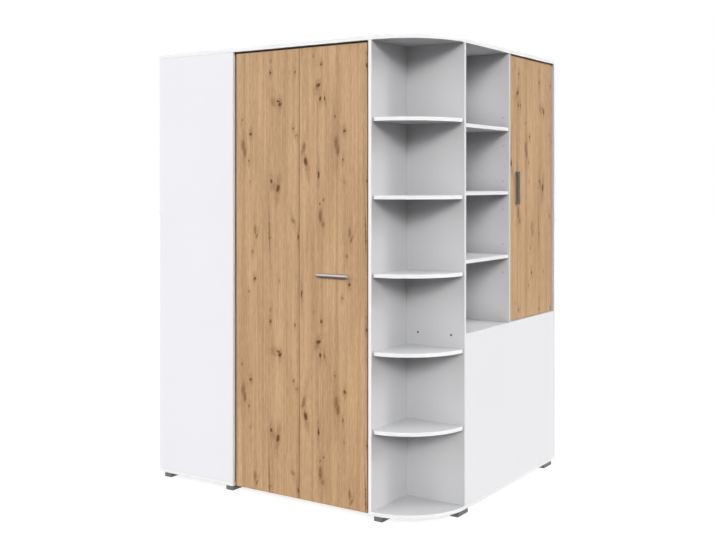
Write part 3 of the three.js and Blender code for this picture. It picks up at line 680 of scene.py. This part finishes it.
def addTurned(name, sides, radius, foot, top):
    # a cylinder on the z axis between two heights
    bpy.ops.object.select_all(action="DESELECT")
    place = (0, 0, (foot + top) / 2 * mm)
    size = {"vertices": sides, "radius": radius * mm, "depth": (top - foot) * mm}
    bpy.ops.mesh.primitive_cylinder_add(location=place, **size)
    piece = bpy.context.active_object
    bpy.ops.object.transform_apply(location=True, rotation=False, scale=False)
    piece.name = piece.data.name = name
    return piece


def addBlock(size, place, turn=0.0):
    bpy.ops.object.select_all(action="DESELECT")
    spot = [v * mm for v in place]
    bpy.ops.mesh.primitive_cube_add(size=1, location=spot, rotation=(0, 0, math.radians(turn)))
    piece = bpy.context.active_object
    piece.scale = [v * mm for v in size]
    bpy.ops.object.transform_apply(location=True, rotation=True, scale=True)
    return piece


def bevelEdges(piece, test, offset, segments):
    # the edges whose corners all pass the test
    bpy.ops.object.mode_set(mode="EDIT")
    bpy.ops.mesh.select_mode(type="EDGE")
    bpy.ops.mesh.select_all(action="DESELECT")
    shape = bmesh.from_edit_mesh(piece.data)
    for edge in shape.edges:
        edge.select_set(all(test(corner.co) for corner in edge.verts))
    bmesh.update_edit_mesh(piece.data)
    bpy.ops.mesh.bevel(offset=offset * mm, segments=segments, profile=modelling["bevelProfile"])
    bpy.ops.object.mode_set(mode="OBJECT")


def bevelRim(piece, height, offset, segments):
    # the edges that lie at one height
    near = modelling["cornerReach"] * mm
    bevelEdges(piece, lambda corner: abs(corner.z - height * mm) < near, offset, segments)


def combine(piece, other, operation):
    boolean = piece.modifiers.new("combine", "BOOLEAN")
    boolean.operation = operation
    boolean.solver = "EXACT"
    boolean.object = other
    bpy.ops.object.select_all(action="DESELECT")
    piece.select_set(True)
    bpy.context.view_layer.objects.active = piece
    bpy.ops.object.modifier_apply(modifier=boolean.name)
    bpy.data.objects.remove(other, do_unlink=True)


def finishModel(piece, material):
    bpy.ops.object.select_all(action="DESELECT")
    piece.select_set(True)
    bpy.context.view_layer.objects.active = piece
    bpy.ops.object.shade_smooth_by_angle(angle=math.radians(modelling["smoothAngle"]))
    paint(piece, material)
    return piece


def seatAt(point, outward, twist=0.0):
    # turns a model's z axis outwards and its y axis up, and puts it at a point in the frame's metres
    z, y = Vector(outward), Vector((0, 0, 1))
    turn = Matrix((y.cross(z), y, z)).transposed().to_4x4()
    return Matrix.Translation(point) @ turn @ Matrix.Rotation(math.radians(twist), 4, "Z")


def placeCopies(model, stem, body, places):
    for i, place in enumerate(places):
        copy = model.copy()
        copy.data = model.data.copy()
        copy.name = copy.data.name = f"{stem}_{i + 1}"
        copy.data.transform(place)
        bpy.context.scene.collection.objects.link(copy)
        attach(copy, body)


# dome rounds the rim; reach, slot and recess are the cross's length, width and depth
headLook = {"sides": 24, "domeSteps": 4}
woodScrew = {"radius": 3.3, "height": 1.0, "dome": 0.7, "reach": 4.2, "slot": 0.9, "recess": 0.75}
handleScrew = {"radius": 4.0, "height": 2.3, "dome": 1.5, "reach": 4.8, "slot": 1.1, "recess": 1.3}


def makeCrossHead(name, screw):
    # a domed head that sits on z = 0, with a cross cut into it
    head = addTurned(name, headLook["sides"], screw["radius"], 0, screw["height"])
    bevelRim(head, screw["height"], screw["dome"], headLook["domeSteps"])
    for turn in (0, 90):
        size = (screw["reach"], screw["slot"], 2 * screw["recess"])
        combine(head, addBlock(size, (0, 0, screw["height"]), turn), "DIFFERENCE")
    return finishModel(head, steel)


connector = {
    "sides": 32, "radius": 4.6, "height": 0.8, "edge": 0.3, "edgeSteps": 2, "socket": 2.4, "recess": 0.6,
}


def makeConnector():
    # the flat head of a chipboard connecting screw, with a six-sided socket
    top = connector["height"]
    head = addTurned("connector", connector["sides"], connector["radius"], 0, top)
    bevelRim(head, top, connector["edge"], connector["edgeSteps"])
    socket = addTurned("socket", 6, connector["socket"], top - connector["recess"], top + 1)
    combine(head, socket, "DIFFERENCE")
    return finishModel(head, blackSteel)


shelfPin = {
    "sides": 20, "radius": 2.2, "plug": 8, "stem": 6, "lead": 0.4, "leadSteps": 2,
    "spoonWidth": 7, "spoonLength": 9, "spoonFoot": 1.2, "spoonTop": 2.4, "gap": 0.3,
    "corner": 1.4, "cornerSteps": 4,
}


def makeShelfPin():
    # a plug for the hole below z = 0 and a flat spoon on its stem, which carries the shelf on its +y side
    look = shelfPin
    pin = addTurned("shelf_pin", look["sides"], look["radius"], -look["plug"], look["stem"])
    for end in (-look["plug"], look["stem"]):
        bevelRim(pin, end, look["lead"], look["leadSteps"])
    length = look["spoonLength"] - look["gap"]
    height = look["spoonTop"] - look["spoonFoot"]
    place = (0, (look["spoonTop"] + look["spoonFoot"]) / 2, look["gap"] + length / 2)
    spoon = addBlock((look["spoonWidth"], height, length), place)
    tip = (look["spoonLength"] - modelling["cornerReach"]) * mm
    side = (look["spoonWidth"] / 2 - modelling["cornerReach"]) * mm
    for sign in (1, -1):
        bevelEdges(spoon, lambda corner: corner.z > tip and sign * corner.x > side,
                   look["corner"], look["cornerSteps"])
    combine(pin, spoon, "UNION")
    return finishModel(pin, steel)


# doors by the stem of their hinges' names: the door, how many hinges, and which way the screws of the
# cups and of the arms face
hingedDoors = {
    "leaf": ("left_leaf", 4, (0, 1, 0), (1, 0, 0)),
    "side": ("side_door", 3, (-1, 0, 0), (0, -1, 0)),
}
# where the fasteners sit, measured on the pieces that carry them, mm
seats = {
    "cupScrewReach": 25,  # of a hinge cup's screws above and below its middle
    "cupEarTop": 1.625,  # over the back of the door
    "armScrewReach": 16,
    "armPlate": 2.25,
    "armPlateMiddle": 23,  # from the end of the arm
    "stripScrews": 9,
    "stripMiddle": 7.5,
    "stripThickness": 1.3,
    "handleScrewReach": 64,
    "railScrewReach": 17,
    "railFlange": 4,
    "pinInset": 30,
    "pinDrop": 2.5,
    "boardGap": 0.125,
    "connectorInsets": (63, 224),
}
# degrees that the crosses turn: from hinge to hinge, then either way for a pair's two screws; from
# screw to screw on the strips; either way for the two screws of a handle and of a rail's socket
twists = {"cup": (31, 20), "arm": (47, 12), "strip": 53, "handle": 25, "rail": 33}


def middleOf(low, high):
    return (low + high) / 2


def screwPair(middle, outward, reach, i, twist):
    # two screws, one above and one below the middle of the i-th cup or arm
    step, swing = twist
    lift = Vector((0, 0, reach * mm))
    return [seatAt(middle + side * lift, outward, step * i + swing * side) for side in (-1, 1)]


def hingeScrewPlaces():
    # the two screws of each cup and of each arm's plate
    cups, arms = {}, []
    for stem, (door, count, outward, armOutward) in hingedDoors.items():
        doorLow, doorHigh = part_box(door)
        cups[door] = []
        for i in range(1, count + 1):
            cup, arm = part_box(f"{stem}_hinge_cup_{i}"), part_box(f"{stem}_hinge_arm_{i}")
            seat, seatArm = middleOf(*cup), middleOf(*arm)
            if stem == "leaf":
                seat.y = doorHigh.y + seats["cupEarTop"] * mm
                seatArm.x = arm[0].x + seats["armPlate"] * mm
                seatArm.y = arm[1].y - seats["armPlateMiddle"] * mm
            else:
                seat.x = doorLow.x - seats["cupEarTop"] * mm
                seatArm.y = arm[1].y - seats["armPlate"] * mm
                seatArm.x = arm[0].x + seats["armPlateMiddle"] * mm
            cups[door] += screwPair(seat, outward, seats["cupScrewReach"], i, twists["cup"])
            arms += screwPair(seatArm, armOutward, seats["armScrewReach"], i, twists["arm"])
    return cups, arms


def stripScrewPlaces(node, fromLow):
    low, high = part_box(node)
    inset = seats["stripMiddle"] * mm
    x = low.x + inset if fromLow else high.x - inset
    pitch = (high.z - low.z) / seats["stripScrews"]
    heights = [low.z + (i + 0.5) * pitch for i in range(seats["stripScrews"])]
    y = low.y + seats["stripThickness"] * mm
    return [seatAt((x, y, z), (0, 1, 0), twists["strip"] * i) for i, z in enumerate(heights)]


def handleScrewPlaces(handle, door, along, outward):
    # the screws' heads on the back of the door, behind the handle's two ends
    low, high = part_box(handle)
    doorLow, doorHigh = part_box(door)
    places = []
    for side in (-1, 1):
        point = middleOf(low, high)
        point[along] += side * seats["handleScrewReach"] * mm
        if outward[1] > 0:
            point.y = doorHigh.y
        else:
            point.x = doorLow.x
        places.append(seatAt(point, outward, twists["handle"] * side))
    return places


def railScrewPlaces():
    low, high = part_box("clothes_rail")
    places = []
    for side in (-1, 1):
        for y, outward in ((low.y, 1), (high.y, -1)):
            point = middleOf(low, high)
            point.x += side * seats["railScrewReach"] * mm
            point.y = y + outward * seats["railFlange"] * mm
            places.append(seatAt(point, (0, outward, 0), twists["rail"] * side))
    return places


def shelfPinPlaces():
    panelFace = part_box("niche_right_panel")[1].y
    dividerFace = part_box("compartment_divider")[0].y
    places = []
    for i in (1, 2, 3):
        low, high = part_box(f"open_shelf_{i}")
        z = low.z - (seats["boardGap"] + seats["pinDrop"]) * mm
        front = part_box("niche_right_panel")[1].x + (seats["boardGap"] - seats["pinInset"]) * mm
        back = low.x + (seats["pinInset"] - seats["boardGap"]) * mm
        for x in (front, back):
            places.append(seatAt((x, panelFace, z), (0, 1, 0)))
            places.append(seatAt((x, dividerFace, z), (0, -1, 0)))
    return places


def connectorPlaces():
    low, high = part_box("niche_right_panel")
    z = middleOf(*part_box("fixed_shelf")).z
    insets = seats["connectorInsets"]
    return [seatAt((high.x - inset * mm, low.y, z), (0, -1, 0), inset) for inset in insets]


def makeFasteners():
    woodHead = makeCrossHead("wood_screw", woodScrew)
    cups, arms = hingeScrewPlaces()
    for door, places in cups.items():
        placeCopies(woodHead, door + "_cup_screw", door, places)
    placeCopies(woodHead, "hinge_arm_screw", "carcass", arms)
    placeCopies(woodHead, "left_strip_screw", "left_leaf", stripScrewPlaces("fold_hinge_left", True))
    placeCopies(woodHead, "right_strip_screw", "right_leaf", stripScrewPlaces("fold_hinge_right", False))
    placeCopies(woodHead, "rail_screw", "carcass", railScrewPlaces())
    panHead = makeCrossHead("handle_screw", handleScrew)
    folding = handleScrewPlaces("fold_door_handle", "right_leaf", 0, (0, 1, 0))
    placeCopies(panHead, "fold_handle_screw", "right_leaf", folding)
    upright = handleScrewPlaces("side_door_handle", "side_door", 2, (-1, 0, 0))
    placeCopies(panHead, "side_handle_screw", "side_door", upright)
    pin = makeShelfPin()
    placeCopies(pin, "shelf_pin", "carcass", shelfPinPlaces())
    connectorHead = makeConnector()
    placeCopies(connectorHead, "shelf_connector", "carcass", connectorPlaces())
    for model in (woodHead, panHead, pin, connectorHead):
        bpy.data.objects.remove(model, do_unlink=True)


makeFasteners()
print("fasteners done")


# --- floor, light and camera

studio = {
    "floorSize": 60,
    "floorDrop": 0.0003,  # below the feet
    "floorAlbedo": 0.15,
    "floorShown": 0.34,  # as the floor looks to the camera, with the lift added
    "floorLift": 0.83,
    "skyStrength": 0.08,
}
# soft lights all round: compass angle from +X, height angle, how tight, then how strong
softLights = [
    (300, 22, 120, 31.0), (330, 22, 120, 16.0), (30, 19, 90, 16.0), (30, 32, 28, 1.3),
    (210, 17, 45, 5.3), (210, 32, 28, 1.5), (240, 17, 45, 4.2), (110, 25, 28, 8.0),
]


def makeFloor():
    bpy.ops.mesh.primitive_plane_add(size=studio["floorSize"], location=(0, 0, -studio["floorDrop"]))
    floor = bpy.context.active_object
    floor.name = "studio_floor"
    material = bpy.data.materials.new("studio floor")
    material.use_nodes = True
    tree = material.node_tree
    tree.nodes.clear()
    seen = seenDirectly(tree)
    plain = wire(tree, "ShaderNodeBsdfDiffuse", {"Color": (studio["floorAlbedo"],) * 3 + (1,)})[0]
    pale = wire(tree, "ShaderNodeBsdfDiffuse", {"Color": (studio["floorShown"],) * 3 + (1,)})[0]
    lift = wire(tree, "ShaderNodeEmission", {"Color": (1, 1, 1, 1), "Strength": studio["floorLift"]})[0]
    shown = wire(tree, "ShaderNodeAddShader", {0: pale, 1: lift})[0]
    both = wire(tree, "ShaderNodeMixShader", {0: seen, 1: plain, 2: shown})[0]
    wire(tree, "ShaderNodeOutputMaterial", {"Surface": both})
    paint(floor, material)
    bpy.ops.object.select_all(action="DESELECT")


# a dark card that only reflections see, behind on the right, and the point that it faces
flagCard = {
    "location": (1.95, 2.75, 1.3),
    "target": (0.75, 0.19, 1.36),
    "size": 1.0,
    "color": (0.02, 0.02, 0.02, 1),
    "roughness": 0.9,
}


def makeFlag():
    place = flagCard["location"]
    aim = (Vector(flagCard["target"]) - Vector(place)).to_track_quat("Z", "Y").to_euler()
    bpy.ops.mesh.primitive_plane_add(size=flagCard["size"], location=place, rotation=aim)
    flag = bpy.context.active_object
    flag.name = "flag_rear"
    for kind in ("camera", "diffuse", "shadow", "transmission"):
        setattr(flag, "visible_" + kind, False)
    paint(flag, mouldedPlastic("flag cloth", flagCard["color"], flagCard["roughness"]))
    bpy.ops.object.select_all(action="DESELECT")


def makeWorld():
    # soft lights over a weak sky, and plain white where the background is seen
    world = bpy.data.worlds.new("studio")
    bpy.context.scene.world = world
    world.use_nodes = True
    tree = world.node_tree
    tree.nodes.clear()
    way = vectorCalc(tree, "NORMALIZE", wire(tree, "ShaderNodeTexCoord", {})["Generated"])
    level = studio["skyStrength"]
    for turn, rise, tightness, strength in softLights:
        turn, rise = math.radians(turn), math.radians(rise)
        towards = (math.cos(rise) * math.cos(turn), math.cos(rise) * math.sin(turn), math.sin(rise))
        off = calc(tree, "SUBTRACT", vectorCalc(tree, "DOT_PRODUCT", way, towards), 1.0)
        glow = calc(tree, "EXPONENT", calc(tree, "MULTIPLY", off, tightness))
        level = calc(tree, "ADD", level, calc(tree, "MULTIPLY", glow, strength))
    light = wire(tree, "ShaderNodeBackground", {"Color": (1, 1, 1, 1), "Strength": level})[0]
    white = wire(tree, "ShaderNodeBackground", {"Color": (1, 1, 1, 1), "Strength": 1.0})[0]
    seen = seenDirectly(tree)
    both = wire(tree, "ShaderNodeMixShader", {0: seen, 1: light, 2: white})[0]
    wire(tree, "ShaderNodeOutputWorld", {"Surface": both})


cameraPlace = {
    "location": (2.7319, -4.1519, 1.3757),
    "turn": 33.57,
    "lens": 51.758,
    "sensor": 36,
    "shift": -0.1201,
    "clipEnd": 200,
}


def makeCamera():
    camera = bpy.data.cameras.new("camera")
    camera.sensor_width = cameraPlace["sensor"]
    camera.lens = cameraPlace["lens"]
    camera.shift_y = cameraPlace["shift"]
    camera.clip_end = cameraPlace["clipEnd"]
    holder = bpy.data.objects.new("camera", camera)
    holder.location = cameraPlace["location"]
    holder.rotation_euler = (math.radians(90), 0, math.radians(cameraPlace["turn"]))
    bpy.context.scene.collection.objects.link(holder)
    bpy.context.scene.camera = holder


makeFloor()
makeFlag()
makeWorld()
makeCamera()
bpy.context.scene.view_settings.view_transform = "Standard"
print("studio done")
